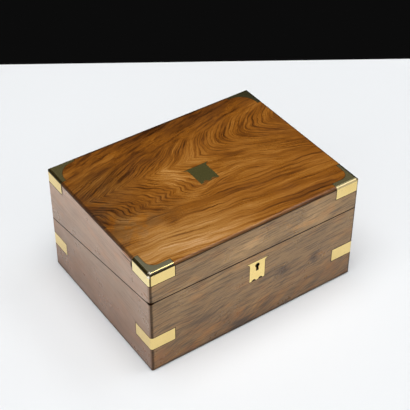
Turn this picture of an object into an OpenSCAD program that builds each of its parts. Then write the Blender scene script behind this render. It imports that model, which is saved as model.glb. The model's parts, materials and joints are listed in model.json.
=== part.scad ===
// Brass bound walnut writing box. Its lid opens flat and its two halves form one writing slope.
// Origin: centre of the underside. X runs along the lock side, the lock faces -Y, Z is up.

/* [Box] */
// Length of the box along the lock side
box_w = 305; // [250:1:420]
// Depth of the box from the lock side to the hinge side
box_d = 233; // [190:1:300]
// Height of the closed box
box_h = 158; // [140:0.5:220]
// Height of the parting line above the table, at the lock side
part_front_h = 112.4; // [100:0.1:125]
// Thickness of the side boards
wall_t = 10; // [9:0.5:13]
// Thickness of the bottom board
bottom_t = 7; // [5:0.5:10]
// Thickness of the lid's top board
top_t = 8; // [6:0.5:12]
// Gap between lid and base along the parting line
part_gap = 0.5; // [0.4:0.1:1]
// Thickness of the baize glued under the box
felt_t = 0.8; // [0.5:0.1:2]
// How far the baize stays inside the edge
felt_inset = 3; // [2:0.5:8]

/* [Rounded edges] */
// Radius of the lid's upper edges
top_r = 4.5; // [3:0.5:6]
// Radius of the upright corners
side_r = 3.5; // [2:0.5:5]
// Radius of the edge round the bottom
foot_r = 1.5; // [0.5:0.5:3]

/* [Brass caps and straps] */
// Thickness of the inlaid brass
brass_t = 1.2; // [0.8:0.1:2]
// Length of a cap's legs along the edges
cap_leg = 35; // [32:0.5:45]
// How far a cap reaches down the sides
cap_drop = 18.5; // [12:0.5:26]
// Width of a cap's flange along the lock side
flange_front = 9.5; // [7:0.5:14]
// Width of a cap's flange along the short sides
flange_side = 7.5; // [6:0.1:12]
// Width of a cap's flange along the hinge side
flange_back = 7; // [6:0.5:12]
// Radius inside the flange of a front cap
flange_r_front = 13; // [8:0.5:18]
// Radius inside the flange of a rear cap
flange_r_back = 25; // [8:0.5:26]
// Length of a base strap's legs
strap_leg = 33.5; // [26:0.5:45]
// Height of a base strap
strap_h = 18.5; // [12:0.1:24]
// Height of a base strap's lower edge above the table
strap_z = 37.1; // [28:0.1:45]

/* [Escutcheon and cartouche] */
// Width of the escutcheon's body
esc_w = 22.4; // [20:0.1:30]
// Width of the escutcheon across its ears
esc_ear_w = 31.6; // [30.5:0.1:38]
// Height of the escutcheon
esc_h = 30.5; // [28:0.5:38]
// Distance from the rim down to the escutcheon
esc_drop = 12; // [9:0.5:15]
// Diameter of the keyhole's round part
key_d = 6.6; // [5.8:0.1:7]
// Width of the keyhole's slot
key_slot_w = 4; // [2.6:0.1:4.4]
// Distance from the rim down to the keyhole's centre
key_drop = 18.8; // [18:0.1:21]
// Length of the keyhole's slot below that centre
key_slot_l = 8.8; // [7:0.1:10]
// Width of the cartouche's body on the lid
cart_w = 26.5; // [20:0.5:40]
// Width of the cartouche across its ears
cart_ear_w = 35.5; // [30:0.5:50]
// Length of the cartouche from its straight edge to its points
cart_h = 32; // [24:0.5:45]
// How far the cartouche lies off the middle, towards the lock side
cart_shift = 1; // [0:0.5:5]

/* [Hinges] */
// Length of one hinge
hinge_l = 48; // [36:1:60]
// Distance from the box's end to the nearer end of a hinge
hinge_end = 33.5; // [20:0.5:60]
// Thickness of a hinge leaf
leaf_t = 1.2; // [1:0.1:1.8]
// Width of a hinge leaf on the rim
leaf_w = 8.4; // [7:0.1:8.8]
// Radius of the hinge knuckle
knuckle_r = 2.2; // [2:0.1:2.8]
// Radius of the hinge pin
pin_r = 1.1; // [0.9:0.1:1.4]
// How far the pin's centre stands behind the box
pin_out = 0.6; // [0.4:0.1:1]
// Radial clearance of the pin in the knuckles that turn on it
pin_clear = 0.05; // [0.02:0.01:0.1]
// Gap between neighbouring knuckles
knuckle_gap = 0.3; // [0.2:0.1:0.6]

/* [Writing flaps] */
// Thickness of a flap's board under the leather
flap_t = 5; // [4:0.5:7]
// Thickness of the leather on a flap
leather_t = 0.8; // [0.5:0.1:1.5]
// Wood left bare round the leather
leather_inset = 12; // [10:0.5:18]
// Width of the fixed rail at the fold
rail_w = 11; // [8:0.5:16]
// Height of that rail
rail_h = 16; // [10:0.5:24]
// Width of the ledges that carry a flap
ledge_w = 6; // [4:0.5:10]
// Height of those ledges
ledge_h = 7; // [5:0.5:10]
// Gap beside a flap, and between a flap and what it lies on
flap_clear = 0.5; // [0.3:0.1:1]
// Gap between a flap's free edge and the wood in front of it
flap_end_gap = 1; // [0.8:0.1:2]
// Angle of the bevel that lets a flap lift, in degrees
flap_bevel = 52; // [48:1:60]
// Diameter of the finger notch in a flap's free edge
notch_d = 16; // [10:1:18]

/* [Pen and ink section] */
// Inside width of the pen and ink section, from the lock side
pen_w = 50; // [44:0.5:60]
// Thickness of the divider and the partitions
div_t = 5; // [4:0.5:7]
// Inside length of an inkwell's cell
cell_l = 46; // [42:0.5:56]
// Height of the pen tray
tray_h = 20; // [16:0.5:26]
// Radius of the pen tray's trough
trough_r = 20; // [14:0.5:21]
// Gap round the pen tray
tray_clear = 0.6; // [0.4:0.1:1.2]
// How far the tray and the inkwells stay below the rim
well_drop = 5; // [4:0.5:10]
// Size of the strips under the tray
rest_size = 5; // [4:0.5:7]
// Width of an inkwell's square glass body
ink_w = 34; // [28:0.5:38]
// Height of an inkwell's glass body
ink_h = 28; // [22:0.5:34]
// Wall thickness of an inkwell
ink_wall = 4; // [3:0.5:6]
// Radius of an inkwell's neck
neck_r = 11; // [9:0.5:13]
// Height of an inkwell's neck
neck_h = 6; // [4:0.5:8]
// Thickness of an inkwell's brass cap
cap_wall = 1.2; // [1:0.1:2]

/* [Lock] */
// Length of the lock's case
case_l = 62; // [60:1:70]
// Height of the lock's case
case_h = 31; // [30:0.5:38]
// Depth of the lock's case in the board
case_d = 6; // [5.8:0.1:7]
// Thickness of the lock's sheet brass
lock_t = 1; // [0.8:0.1:1.2]
// Thickness of the selvedge on the rim, and of the link plate above it
selv_t = 2; // [1.6:0.1:2.6]
// How far the selvedge and the link plate reach past each end of the case
selv_ear = 8; // [7:0.5:11]
// Distance of each link hook from the middle
hook_x = 14; // [13:0.5:17]
// Thickness of a hook, across the board
hook_t = 2; // [1.6:0.1:2.2]
// How far a hook reaches below the selvedge
hook_l = 9; // [8:0.5:10]
// Travel of the bolt
bolt_travel = 4; // [3.5:0.1:4.5]
// Running gap round the bolt
bolt_clear = 0.4; // [0.3:0.05:0.5]

/* [Screws] */
// Radius of a screw's shank
screw_r = 1.1; // [0.8:0.1:1.3]
// Radius of a screw's flat head
screw_head_r = 2.1; // [1.8:0.1:2.4]
// Thickness of a screw's head
screw_head_t = 0.8; // [0.6:0.1:1]
// Length of a screw
screw_l = 8; // [7:0.5:9]

/* [Hidden] */
$fn = 48;
tiny = 0.01;
// How far a cutting solid reaches past what it cuts
past = 2;
// Least radius of a rounded corner once the brass is taken off
least_r = 0.5;
// The flange of a cap starts this far below the rounded edge
bend_drop = 0.5;
// The shield's scallops: radius and place as shares of its width, and how far their centres lie outside
scallop_size = 0.14;
scallop_place = 0.22;
scallop_out = 0.15;
// Each ear of the shield is hollowed by a circle whose centre lies this far below it
ear_drop = 0.4;
half_w = box_w / 2;
half_d = box_d / 2;
// The parting line leaves the hinge side at half height, so that the open lid lies flat on the table
part_back_h = box_h / 2;
slope = atan((part_front_h - part_back_h) / box_d);
in_w = box_w - 2 * wall_t;
in_front = -half_d + wall_t;
in_back = half_d - wall_t;
// Hinge line
pin_y = half_d + pin_out;
pin_z = part_back_h;
hinge_x = half_w - hinge_end - hinge_l / 2;
// From a hinge's middle to each of its screws, and from the back of the box to them
hinge_screw_x = hinge_l * 0.34;
hinge_screw_y = leaf_w * 0.52;
fold_y = in_back - rail_w;
div_front = in_front + pen_w;
div_back = div_front + div_t;
// Bottom of a flap, measured square to the slope from the parting line
flap_depth = part_gap / 2 + leather_t + flap_t;
ledge_top = flap_depth + flap_clear;
// The ledges stop this far from the fold
ledge_stop = 4;
base_flap_l = (fold_y - div_back) / cos(slope) - flap_depth * tan(slope) - flap_end_gap;
lid_flap_l = (fold_y - in_front) / cos(slope) - flap_end_gap;
flap_w = in_w - 2 * flap_clear;
part_x = in_w / 2 - cell_l;
// How far the tray stays below the partitions
tray_sink = 1;
tray_top = part_z(div_front) - well_drop - tray_sink;
tray_x = part_x - div_t;
// Wood left at each end of the trough, and height of the trough's axis above the tray
trough_end = 6;
trough_lift = 4;
// Inkwell: how far its cap stays below the tray's top, and the button on the cap
ink_sink = 1.8;
button_h = 1.2;
button_inset = 2;
neck_wall = 2.5;
// Gap between the cap and the neck
cap_clear = 0.1;
ink_base = tray_top - ink_sink - button_h - cap_wall - neck_h - ink_h;
ink_x = in_w / 2 - cell_l / 2;
ink_y = in_front + pen_w / 2;
key_z = part_front_h - key_drop;
rim_drop = part_gap / 2 + selv_t;
// The lock's case ends level under the selvedge, whose upper side follows the slope
case_top = part_back_h + (half_d - in_front) * tan(slope) - rim_drop;
case_y = -half_d + wall_t - case_d;
cavity_y = case_y + lock_t;
cavity_d = case_d - 2 * lock_t;
// The hooks and the bolt lie a little in front of the cavity's middle
hook_y = cavity_y + (cavity_d - hook_t) * 0.3;
hook_w = 4;
// A hook's foot: from the hook's middle to its tip, and its height
foot_x = hook_w * 1.5;
foot_h = 3;
foot_top = case_top - hook_l + foot_h;
tab_top = foot_top + bolt_clear + foot_h;
bar_top = case_top - hook_l - bolt_clear;
bar_h = 3.2;
post_w = 2.5;
// From a hook's middle to the bolt's post beside it
post_x = foot_x + bolt_travel + bolt_clear;
selv_l = case_l + 2 * selv_ear;
screw_x_selv = case_l / 2 + selv_ear / 2;

// Height of the parting line at a depth y
function part_z(y) = part_back_h + (half_d - y) * tan(slope);

// A solid with an outline in Y and Z, centred on x and w long
module along_x(x, w, outline) {
    translate([x - w / 2, 0, 0]) rotate([90, 0, 90]) linear_extrude(w) polygon(outline);
}

// Places its children on the parting line at depth y, tilted with it
module on_slope(y) {
    translate([0, y, part_z(y)]) rotate([-slope, 0, 0]) children();
}

module plan_outline(inset) {
    r = max(side_r - inset, least_r);
    x = half_w - inset;
    y = half_d - inset;
    square([2 * x, 2 * (y - r)], center = true);
    square([2 * (x - r), 2 * y], center = true);
    for (sx = [-1, 1], sy = [-1, 1]) translate([sx * (x - r), sy * (y - r)]) circle(r);
}

// Side view of the whole box, rounded at the top and bottom. Its wood stands on the baize
module elevation_outline(half, inset) {
    r = top_r - inset;
    x = half - inset;
    top = box_h - inset;
    foot_z = felt_t + foot_r;
    translate([-x, foot_z]) square([2 * x, top - r - foot_z]);
    translate([-(x - r), foot_z]) square([2 * (x - r), top - foot_z]);
    translate([-(x - foot_r), felt_t]) square([2 * (x - foot_r), 2 * foot_r]);
    for (s = [-1, 1]) {
        translate([s * (x - r), top - r]) circle(r);
        translate([s * (x - foot_r), foot_z]) circle(foot_r);
    }
}

// The outer form of the closed box, or the same form smaller by inset all round
module envelope(inset) {
    intersection() {
        linear_extrude(box_h + past) plan_outline(inset);
        rotate([90, 0, 90]) linear_extrude(box_w + past, center = true) elevation_outline(half_d, inset);
        rotate([90, 0, 0]) linear_extrude(box_d + past, center = true) elevation_outline(half_w, inset);
    }
}

// All space between the level z and a line that lies offset above the parting line
module part_space(z, offset) {
    y = half_d + past;
    along_x(0, box_w + 2 * past, [[-y, z], [y, z], [y, part_z(y) + offset], [-y, part_z(-y) + offset]]);
}

// Keeps the part of its children that belongs to the base or to the lid
module in_base() {
    intersection() {
        envelope(0);
        part_space(-past, -part_gap / 2);
        children();
    }
}

module in_lid() {
    intersection() {
        envelope(0);
        part_space(box_h + past, part_gap / 2);
        children();
    }
}

module block(x0, x1, y0, y1, z0, z1) {
    translate([x0, y0, z0]) cube([x1 - x0, y1 - y0, z1 - z0]);
}

module screw(extra = 0) {
    translate([0, 0, -screw_l]) cylinder(r = screw_r, h = screw_l);
    translate([0, 0, -screw_head_t]) cylinder(r = screw_head_r, h = screw_head_t + extra);
}

// Straight top with two ears, straight sides, and a lower edge cut by two scallops
module shield_outline(w, ear_w, h) {
    ear = (ear_w - w) / 2;
    scallop = w * scallop_size;
    difference() {
        union() {
            translate([-w / 2, -h]) square([w, h]);
            for (s = [-1, 1]) difference() {
                translate([s > 0 ? w / 2 - tiny : -w / 2 - ear, -ear]) square([ear + tiny, ear]);
                translate([s * (w / 2 + ear), -ear - ear_drop]) circle(ear);
            }
        }
        for (s = [-1, 1]) translate([s * w * scallop_place, -h - scallop * scallop_out]) circle(scallop);
    }
}

module key_outline() {
    circle(key_d / 2);
    translate([-key_slot_w / 2, -key_slot_l]) square([key_slot_w, key_slot_l]);
}

// The keyhole through everything between depths y0 and y1
module key_cut(y0, y1) {
    translate([0, y1, key_z]) rotate([90, 0, 0]) linear_extrude(y1 - y0) key_outline();
}

module escutcheon_blank(t) {
    translate([0, -half_d + brass_t, part_front_h - esc_drop]) rotate([90, 0, 0])
        linear_extrude(t) shield_outline(esc_w, esc_ear_w, esc_h);
}

module cartouche_blank(t) {
    translate([0, cart_h / 2 - cart_shift, box_h - brass_t])
        linear_extrude(t) shield_outline(cart_w, cart_ear_w, cart_h);
}

// Space that a lid cap takes, from the corner inwards and outwards
module cap_space(sx, sy) {
    wide = sy < 0 ? flange_front : flange_back;
    r = sy < 0 ? flange_r_front : flange_r_back;
    bend_z = box_h - top_r - bend_drop;
    difference() {
        at_corner(sx, sy) {
            translate([-past, -past, box_h - cap_drop])
                cube([cap_leg + past, cap_leg + past, bend_z - box_h + cap_drop]);
            translate([0, 0, bend_z - tiny]) linear_extrude(box_h + past - bend_z) difference() {
                translate([-past, -past]) square([cap_leg + past, cap_leg + past]);
                translate([flange_side + r, wide + r]) circle(r);
                translate([flange_side, wide + r]) square(cap_leg + r);
                translate([flange_side + r, wide]) square(cap_leg + r);
            }
        }
        envelope(brass_t);
    }
}

// Places its children, drawn as for the front left corner, at the corner on sides sx and sy
module at_corner(sx, sy) {
    translate([sx * half_w, sy * half_d, 0]) mirror([sx > 0 ? 1 : 0, 0, 0]) mirror([0, sy > 0 ? 1 : 0, 0])
        children();
}

module strap_space(sx, sy) {
    difference() {
        at_corner(sx, sy) translate([-past, -past, strap_z])
            cube([strap_leg + past, strap_leg + past, strap_h]);
        envelope(brass_t);
    }
}

// Recess for the hinge knuckles along the back edge, and for one leaf
module hinge_cuts(side) {
    for (s = [-1, 1]) {
        pin_bar(s * hinge_x - hinge_l / 2 - knuckle_gap, s * hinge_x + hinge_l / 2 + knuckle_gap,
            knuckle_r + knuckle_gap);
        translate([s * hinge_x, 0, 0]) leaf_plate(side, past);
        hinge_screw_places(s, side) screw(past);
    }
}

// A leaf's plate, longer by extra past the rim and the back: side 1 is the lid, side -1 the base
module leaf_plate(side, extra) {
    z = side > 0 ? part_gap / 2 - extra : -part_gap / 2 - leaf_t;
    on_slope(half_d) translate([-hinge_l / 2, -leaf_w, z]) cube([hinge_l, leaf_w + extra, leaf_t + extra]);
}

module hinge_screw_places(s, side) {
    for (k = [-1, 1]) translate([s * hinge_x + k * hinge_screw_x, 0, 0]) on_slope(half_d)
        translate([0, -hinge_screw_y, side * part_gap / 2]) rotate([side > 0 ? 180 : 0, 0, 0]) children();
}

// A round bar about the pin's axis
module pin_bar(x0, x1, r) {
    translate([x0, pin_y, pin_z]) rotate([0, 90, 0]) cylinder(r = r, h = x1 - x0);
}

// The base leaf holds the middle knuckle, the lid leaf the two outer ones
module hinge_leaf(s, side) {
    x0 = s * hinge_x - hinge_l / 2;
    third = hinge_l / 3;
    edge = knuckle_gap / 2;
    notch_gap = knuckle_gap * 0.8;
    middle = [[third + edge, 2 * third - edge]];
    outer = [[edge, third - edge], [2 * third + edge, hinge_l - edge]];
    spans = side < 0 ? middle : outer;
    bore = side < 0 ? pin_r : pin_r + pin_clear;
    difference() {
        union() {
            difference() {
                translate([s * hinge_x, 0, 0]) leaf_plate(side, 0);
                for (p = side < 0 ? outer : middle)
                    pin_bar(x0 + p[0] - notch_gap, x0 + p[1] + notch_gap, knuckle_r + knuckle_gap);
            }
            for (p = spans) {
                pin_bar(x0 + p[0], x0 + p[1], knuckle_r);
                translate([x0 + p[0] + edge, 0, 0]) leaf_web(side, p[1] - p[0] - 2 * edge);
            }
        }
        pin_bar(x0 - past, x0 + hinge_l + past, bore);
        hinge_screw_places(s, side) screw(past);
    }
}

// Short web that joins a leaf's plate to its knuckle
module leaf_web(side, length) {
    on_slope(half_d) translate([0, -past, side > 0 ? part_gap / 2 : -part_gap / 2 - leaf_t])
        cube([length, past + pin_out, leaf_t]);
}

module hinge_pin(s) {
    pin_bar(s * hinge_x - hinge_l / 2, s * hinge_x + hinge_l / 2, pin_r);
}

module lock_pocket() {
    block(-case_l / 2, case_l / 2, case_y, in_front + past, case_top - case_h, part_front_h + past);
    selvedge_blank(past);
    rim_screw_places(-1) screw(past);
}

// The strip on the rim of the base's front board
module selvedge_blank(extra) {
    y = in_front + extra;
    rise = extra - part_gap / 2;
    along_x(0, selv_l, [
        [case_y, case_top], [y, case_top],
        [y, part_z(in_front) + rise], [case_y, part_z(case_y) + rise]
    ]);
}

// The link plate's strip, in the rim of the lid's front board
module link_blank(extra) {
    y = in_front + extra;
    low = part_gap / 2 - extra;
    high = part_gap / 2 + selv_t;
    along_x(0, selv_l, [
        [case_y, part_z(case_y) + low], [y, part_z(in_front) + low],
        [y, part_z(in_front) + high], [case_y, part_z(case_y) + high]
    ]);
}

module rim_screw_places(side) {
    for (s = [-1, 1]) translate([s * screw_x_selv, 0, 0]) on_slope(case_y + case_d / 2)
        translate([0, 0, side * part_gap / 2]) rotate([side > 0 ? 180 : 0, 0, 0]) children();
}

// Carcass of the base

module base_front() {
    color("saddlebrown") difference() {
        in_base() block(-half_w, half_w, -half_d, in_front, 0, box_h);
        for (sx = [-1, 1]) strap_space(sx, -1);
        escutcheon_blank(brass_t + past);
        lock_pocket();
        key_cut(-half_d - past, case_y + tiny);
    }
}

module base_back() {
    color("saddlebrown") difference() {
        in_base() block(-half_w, half_w, in_back, half_d, 0, box_h);
        for (sx = [-1, 1]) strap_space(sx, 1);
        hinge_cuts(-1);
    }
}

// Wood for an end board: s is -1 on the left, 1 on the right
module end_blank(s, top) {
    block(s < 0 ? -half_w : half_w - wall_t, s < 0 ? -half_w + wall_t : half_w, in_front, in_back, 0, top);
}

module base_side(s) {
    color("saddlebrown") difference() {
        in_base() end_blank(s, box_h);
        for (sy = [-1, 1]) strap_space(s, sy);
    }
}

module base_left() {
    base_side(-1);
}

module base_right() {
    base_side(1);
}

module base_bottom() {
    color("peru") block(-in_w / 2, in_w / 2, in_front, in_back, felt_t, felt_t + bottom_t);
}

module base_felt() {
    x = half_w - felt_inset;
    y = half_d - felt_inset;
    color("darkgreen") block(-x, x, -y, y, 0, felt_t);
}

// Carcass of the lid

module lid_top() {
    color("chocolate") difference() {
        in_lid() block(-half_w, half_w, -half_d, half_d, box_h - top_t, box_h);
        for (sx = [-1, 1], sy = [-1, 1]) cap_space(sx, sy);
        cartouche_blank(brass_t + past);
    }
}

module lid_front() {
    color("saddlebrown") difference() {
        in_lid() block(-half_w, half_w, -half_d, in_front, 0, box_h - top_t);
        for (sx = [-1, 1]) cap_space(sx, -1);
        link_blank(past);
        rim_screw_places(1) screw(past);
    }
}

module lid_back() {
    color("saddlebrown") difference() {
        in_lid() block(-half_w, half_w, in_back, half_d, 0, box_h - top_t);
        for (sx = [-1, 1]) cap_space(sx, 1);
        hinge_cuts(1);
    }
}

module lid_side(s) {
    color("saddlebrown") difference() {
        in_lid() end_blank(s, box_h - top_t);
        for (sy = [-1, 1]) cap_space(s, sy);
    }
}

module lid_left() {
    lid_side(-1);
}

module lid_right() {
    lid_side(1);
}

// Brass on the outside

module cap(sx, sy) {
    color("goldenrod") intersection() {
        cap_space(sx, sy);
        envelope(0);
    }
}

module strap(sx, sy) {
    color("goldenrod") intersection() {
        strap_space(sx, sy);
        envelope(0);
    }
}

module cap_front_left() {
    cap(-1, -1);
}

module cap_front_right() {
    cap(1, -1);
}

module cap_back_left() {
    cap(-1, 1);
}

module cap_back_right() {
    cap(1, 1);
}

module strap_front_left() {
    strap(-1, -1);
}

module strap_front_right() {
    strap(1, -1);
}

module strap_back_left() {
    strap(-1, 1);
}

module strap_back_right() {
    strap(1, 1);
}

module escutcheon() {
    color("gold") difference() {
        escutcheon_blank(brass_t);
        key_cut(-half_d - past, -half_d + brass_t + past);
    }
}

module cartouche() {
    color("olive") cartouche_blank(brass_t);
}

// Hinges

module hinge_base_leaf_left() {
    color("goldenrod") hinge_leaf(-1, -1);
}

module hinge_base_leaf_right() {
    color("goldenrod") hinge_leaf(1, -1);
}

module hinge_lid_leaf_left() {
    color("gold") hinge_leaf(-1, 1);
}

module hinge_lid_leaf_right() {
    color("gold") hinge_leaf(1, 1);
}

module hinge_pin_left() {
    color("silver") hinge_pin(-1);
}

module hinge_pin_right() {
    color("silver") hinge_pin(1);
}

module hinge_screws_base() {
    color("khaki") for (s = [-1, 1]) hinge_screw_places(s, -1) screw();
}

module hinge_screws_lid() {
    color("khaki") for (s = [-1, 1]) hinge_screw_places(s, 1) screw();
}

// Lock in the base and link plate in the lid

module lock_case() {
    cavity_l = case_l - 2 * lock_t;
    case_low = case_top - case_h;
    guide_top = bar_top - bar_h - bolt_clear / 2;
    guide_low = guide_top - 2;
    color("goldenrod") difference() {
        block(-case_l / 2, case_l / 2, case_y, in_front - lock_t, case_low, case_top);
        difference() {
            block(-cavity_l / 2, cavity_l / 2, cavity_y, in_front, case_low + lock_t, case_top + past);
            for (x = [-hook_x, hook_x])
                block(x - hook_w, x + hook_w, cavity_y - past, hook_y + hook_t, guide_low, guide_top);
        }
        key_cut(case_y - past, cavity_y + tiny);
    }
}

module lock_cover() {
    color("gold") block(-case_l / 2, case_l / 2, in_front - lock_t, in_front, case_top - case_h, case_top);
}

// A bar with two upright posts, each with a tab that slides over a hook's foot
module lock_bolt() {
    talon_r = 2;
    x_end = hook_x + post_x + post_w;
    color("silver") difference() {
        union() {
            block(-hook_x - hook_w, x_end, hook_y, hook_y + hook_t, bar_top - bar_h, bar_top);
            for (x = [-hook_x, hook_x]) {
                post = x + post_x;
                tab = post - bolt_travel + bolt_clear / 2;
                block(post, post + post_w, hook_y, hook_y + hook_t, bar_top - tiny, tab_top);
                block(tab, post + tiny, hook_y, hook_y + hook_t, tab_top - foot_h, tab_top);
            }
        }
        translate([0, hook_y - past, bar_top - bar_h]) rotate([-90, 0, 0])
            cylinder(r = talon_r, h = hook_t + 2 * past);
    }
}

// A flat strip along the floor of the case, bowed towards the bolt
module lock_spring() {
    strip_t = 0.6;
    flat_l = 14;
    bow_l = 8;
    bow_angle = 20;
    x = lock_t - case_l / 2;
    z = case_top - case_h + lock_t;
    color("silver") block(x, x + flat_l, hook_y, hook_y + hook_t, z, z + strip_t);
    color("silver") translate([x + flat_l, hook_y, z]) rotate([0, -bow_angle, 0])
        cube([bow_l, hook_t, strip_t]);
}

// The pin that fits the key's bore, a third as thick as the keyhole is wide
module lock_drill_pin() {
    color("silver") translate([0, in_front - lock_t, key_z]) rotate([90, 0, 0])
        cylinder(d = key_d / 3, h = case_d - lock_t);
}

module hook_slots() {
    slot_gap = 1;
    for (x = [-hook_x, hook_x])
        block(x - hook_w / 2 - slot_gap, x + foot_x + slot_gap, cavity_y, cavity_y + cavity_d, 0, box_h);
}

module lock_selvedge() {
    color("gold") difference() {
        selvedge_blank(0);
        hook_slots();
        rim_screw_places(-1) screw(past);
    }
}

module lock_screws() {
    color("khaki") rim_screw_places(-1) screw();
}

// Plate in the lid's rim with two hooks that drop through the selvedge
module link_plate() {
    color("goldenrod") difference() {
        union() {
            link_blank(0);
            for (x = [-hook_x, hook_x]) {
                block(x - hook_w / 2, x + hook_w / 2, hook_y, hook_y + hook_t,
                    case_top - hook_l, part_z(in_front) + rim_drop / 2);
                block(x, x + foot_x, hook_y, hook_y + hook_t, case_top - hook_l, foot_top);
            }
        }
        rim_screw_places(1) screw(past);
    }
}

module link_screws() {
    color("khaki") rim_screw_places(1) screw();
}

// Writing flaps, drawn on the slope with the pivot line at the origin

// Board of a flap that is length long: side 1 lies above the parting line, side -1 below it
module flap_board(side, width, length) {
    z0 = side * part_gap / 2;
    z1 = side * flap_depth;
    difference() {
        along_x(0, width, [[0, z0], [-length, z0], [-length, z1], [-flap_t * tan(flap_bevel), z1]]);
        flap_leather(side, width, length, past);
        translate([0, -length, z1]) cylinder(d = notch_d, h = 4 * flap_t, center = true);
    }
}

// The leather lies in a shallow recess, with bare wood all round it
module flap_leather(side, width, length, extra = 0) {
    z = side > 0 ? part_gap / 2 - extra : -part_gap / 2 - leather_t;
    translate([-width / 2 + leather_inset, -length + leather_inset, z])
        cube([width - 2 * leather_inset, length - 2 * leather_inset, leather_t + extra]);
}

// The rail is drawn square to the slope, and the back board cuts it off
module fold_rail(side) {
    far = 2 * rail_w;
    low = side * part_gap / 2;
    high = side * rail_h;
    color("peru") intersection() {
        on_slope(fold_y) along_x(0, in_w, [[flap_clear, low], [far, low], [far, high], [flap_clear, high]]);
        block(-in_w / 2, in_w / 2, fold_y - rail_h, in_back, 0, box_h - top_t);
    }
}

// Strip on a side board under the edge of a flap
module flap_ledge(side, s, y_front) {
    x0 = s < 0 ? -in_w / 2 : in_w / 2 - ledge_w;
    a = ledge_top;
    b = ledge_top + ledge_h;
    y1 = fold_y - ledge_stop;
    color("peru") intersection() {
        along_x(x0 + ledge_w / 2, ledge_w, [
            [y_front, part_z(y_front) + side * a], [y1, part_z(y1) + side * a],
            [y1, part_z(y1) + side * b], [y_front, part_z(y_front) + side * b]
        ]);
        block(-in_w / 2, in_w / 2, in_front, in_back, felt_t + bottom_t, box_h - top_t);
    }
}

module base_fold_rail() {
    fold_rail(-1);
}

module lid_fold_rail() {
    fold_rail(1);
}

module base_ledge_left() {
    flap_ledge(-1, -1, div_back);
}

module base_ledge_right() {
    flap_ledge(-1, 1, div_back);
}

module lid_ledge_left() {
    flap_ledge(1, -1, in_front);
}

module lid_ledge_right() {
    flap_ledge(1, 1, in_front);
}

module base_flap() {
    color("sienna") on_slope(fold_y) flap_board(-1, flap_w, base_flap_l);
}

module base_leather() {
    color("darkred") on_slope(fold_y) flap_leather(-1, flap_w, base_flap_l);
}

module lid_flap() {
    color("sienna") on_slope(fold_y) flap_board(1, flap_w, lid_flap_l);
}

module lid_leather() {
    color("darkred") on_slope(fold_y) flap_leather(1, flap_w, lid_flap_l);
}

// Strip of wood on the lid's front board that the free edge of the lid flap closes against
module lid_flap_catch() {
    y = in_front + ledge_w;
    top = part_z(in_front) + ledge_top + ledge_h;
    color("peru") along_x(0, in_w - 2 * ledge_w, [
        [in_front, part_z(in_front) + ledge_top], [y, part_z(y) + ledge_top], [y, top], [in_front, top]
    ]);
}

// Pen and ink section

// Clear of the flap's leading edge, and open to the rim
module section_board(x0, x1, y0, y1, drop) {
    intersection() {
        block(x0, x1, y0, y1, felt_t + bottom_t, box_h);
        part_space(-past, -drop);
    }
}

module pen_divider() {
    color("peru") section_board(-in_w / 2, in_w / 2, div_front, div_back, part_gap / 2);
}

module partition_left() {
    color("peru") section_board(-part_x, -part_x + div_t, in_front, div_front, well_drop);
}

module partition_right() {
    color("peru") section_board(part_x - div_t, part_x, in_front, div_front, well_drop);
}

module tray_rests() {
    z = tray_top - tray_h - rest_size;
    color("peru") for (x = [-tray_x, tray_x - rest_size])
        block(x, x + rest_size, in_front, div_front, z, z + rest_size);
}

module pen_tray() {
    x = tray_x - tray_clear;
    y0 = in_front + tray_clear;
    y1 = div_front - tray_clear;
    color("sienna") difference() {
        block(-x, x, y0, y1, tray_top - tray_h, tray_top);
        translate([0, (y0 + y1) / 2, tray_top + trough_lift]) rotate([0, 90, 0])
            cylinder(r = trough_r, h = 2 * (x - trough_end), center = true);
    }
}

module inkwell_blocks() {
    color("peru") for (x = [-ink_x, ink_x])
        block(x - cell_l / 2, x + cell_l / 2, in_front, div_front, felt_t + bottom_t, ink_base);
}

module inkwell(s) {
    color("lightcyan") translate([s * ink_x, ink_y, ink_base]) difference() {
        union() {
            translate([-ink_w / 2, -ink_w / 2, 0]) cube([ink_w, ink_w, ink_h]);
            cylinder(r = neck_r, h = ink_h + neck_h);
        }
        translate([0, 0, ink_wall]) cylinder(r = neck_r - neck_wall, h = ink_h + neck_h);
    }
}

module inkwell_cap(s) {
    r = neck_r + cap_clear + cap_wall;
    color("gold") translate([s * ink_x, ink_y, ink_base + ink_h]) difference() {
        union() {
            cylinder(r = r, h = neck_h + cap_wall);
            translate([0, 0, neck_h + cap_wall]) cylinder(r = r - button_inset, h = button_h);
        }
        translate([0, 0, -past]) cylinder(r = neck_r + cap_clear, h = neck_h + past);
    }
}

module inkwell_left() {
    inkwell(-1);
}

module inkwell_right() {
    inkwell(1);
}

module inkwell_cap_left() {
    inkwell_cap(-1);
}

module inkwell_cap_right() {
    inkwell_cap(1);
}

base_front();
base_back();
base_left();
base_right();
base_bottom();
base_felt();
lid_top();
lid_front();
lid_back();
lid_left();
lid_right();
cap_front_left();
cap_front_right();
cap_back_left();
cap_back_right();
strap_front_left();
strap_front_right();
strap_back_left();
strap_back_right();
escutcheon();
cartouche();
hinge_base_leaf_left();
hinge_base_leaf_right();
hinge_lid_leaf_left();
hinge_lid_leaf_right();
hinge_pin_left();
hinge_pin_right();
hinge_screws_base();
hinge_screws_lid();
lock_case();
lock_cover();
lock_bolt();
lock_spring();
lock_drill_pin();
lock_selvedge();
lock_screws();
link_plate();
link_screws();
base_fold_rail();
base_ledge_left();
base_ledge_right();
base_flap();
base_leather();
lid_fold_rail();
lid_ledge_left();
lid_ledge_right();
lid_flap();
lid_leather();
lid_flap_catch();
pen_divider();
partition_left();
partition_right();
tray_rests();
pen_tray();
inkwell_blocks();
inkwell_left();
inkwell_right();
inkwell_cap_left();
inkwell_cap_right();
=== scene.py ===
import json
import math

import bpy
from mathutils import Matrix, Vector


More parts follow.
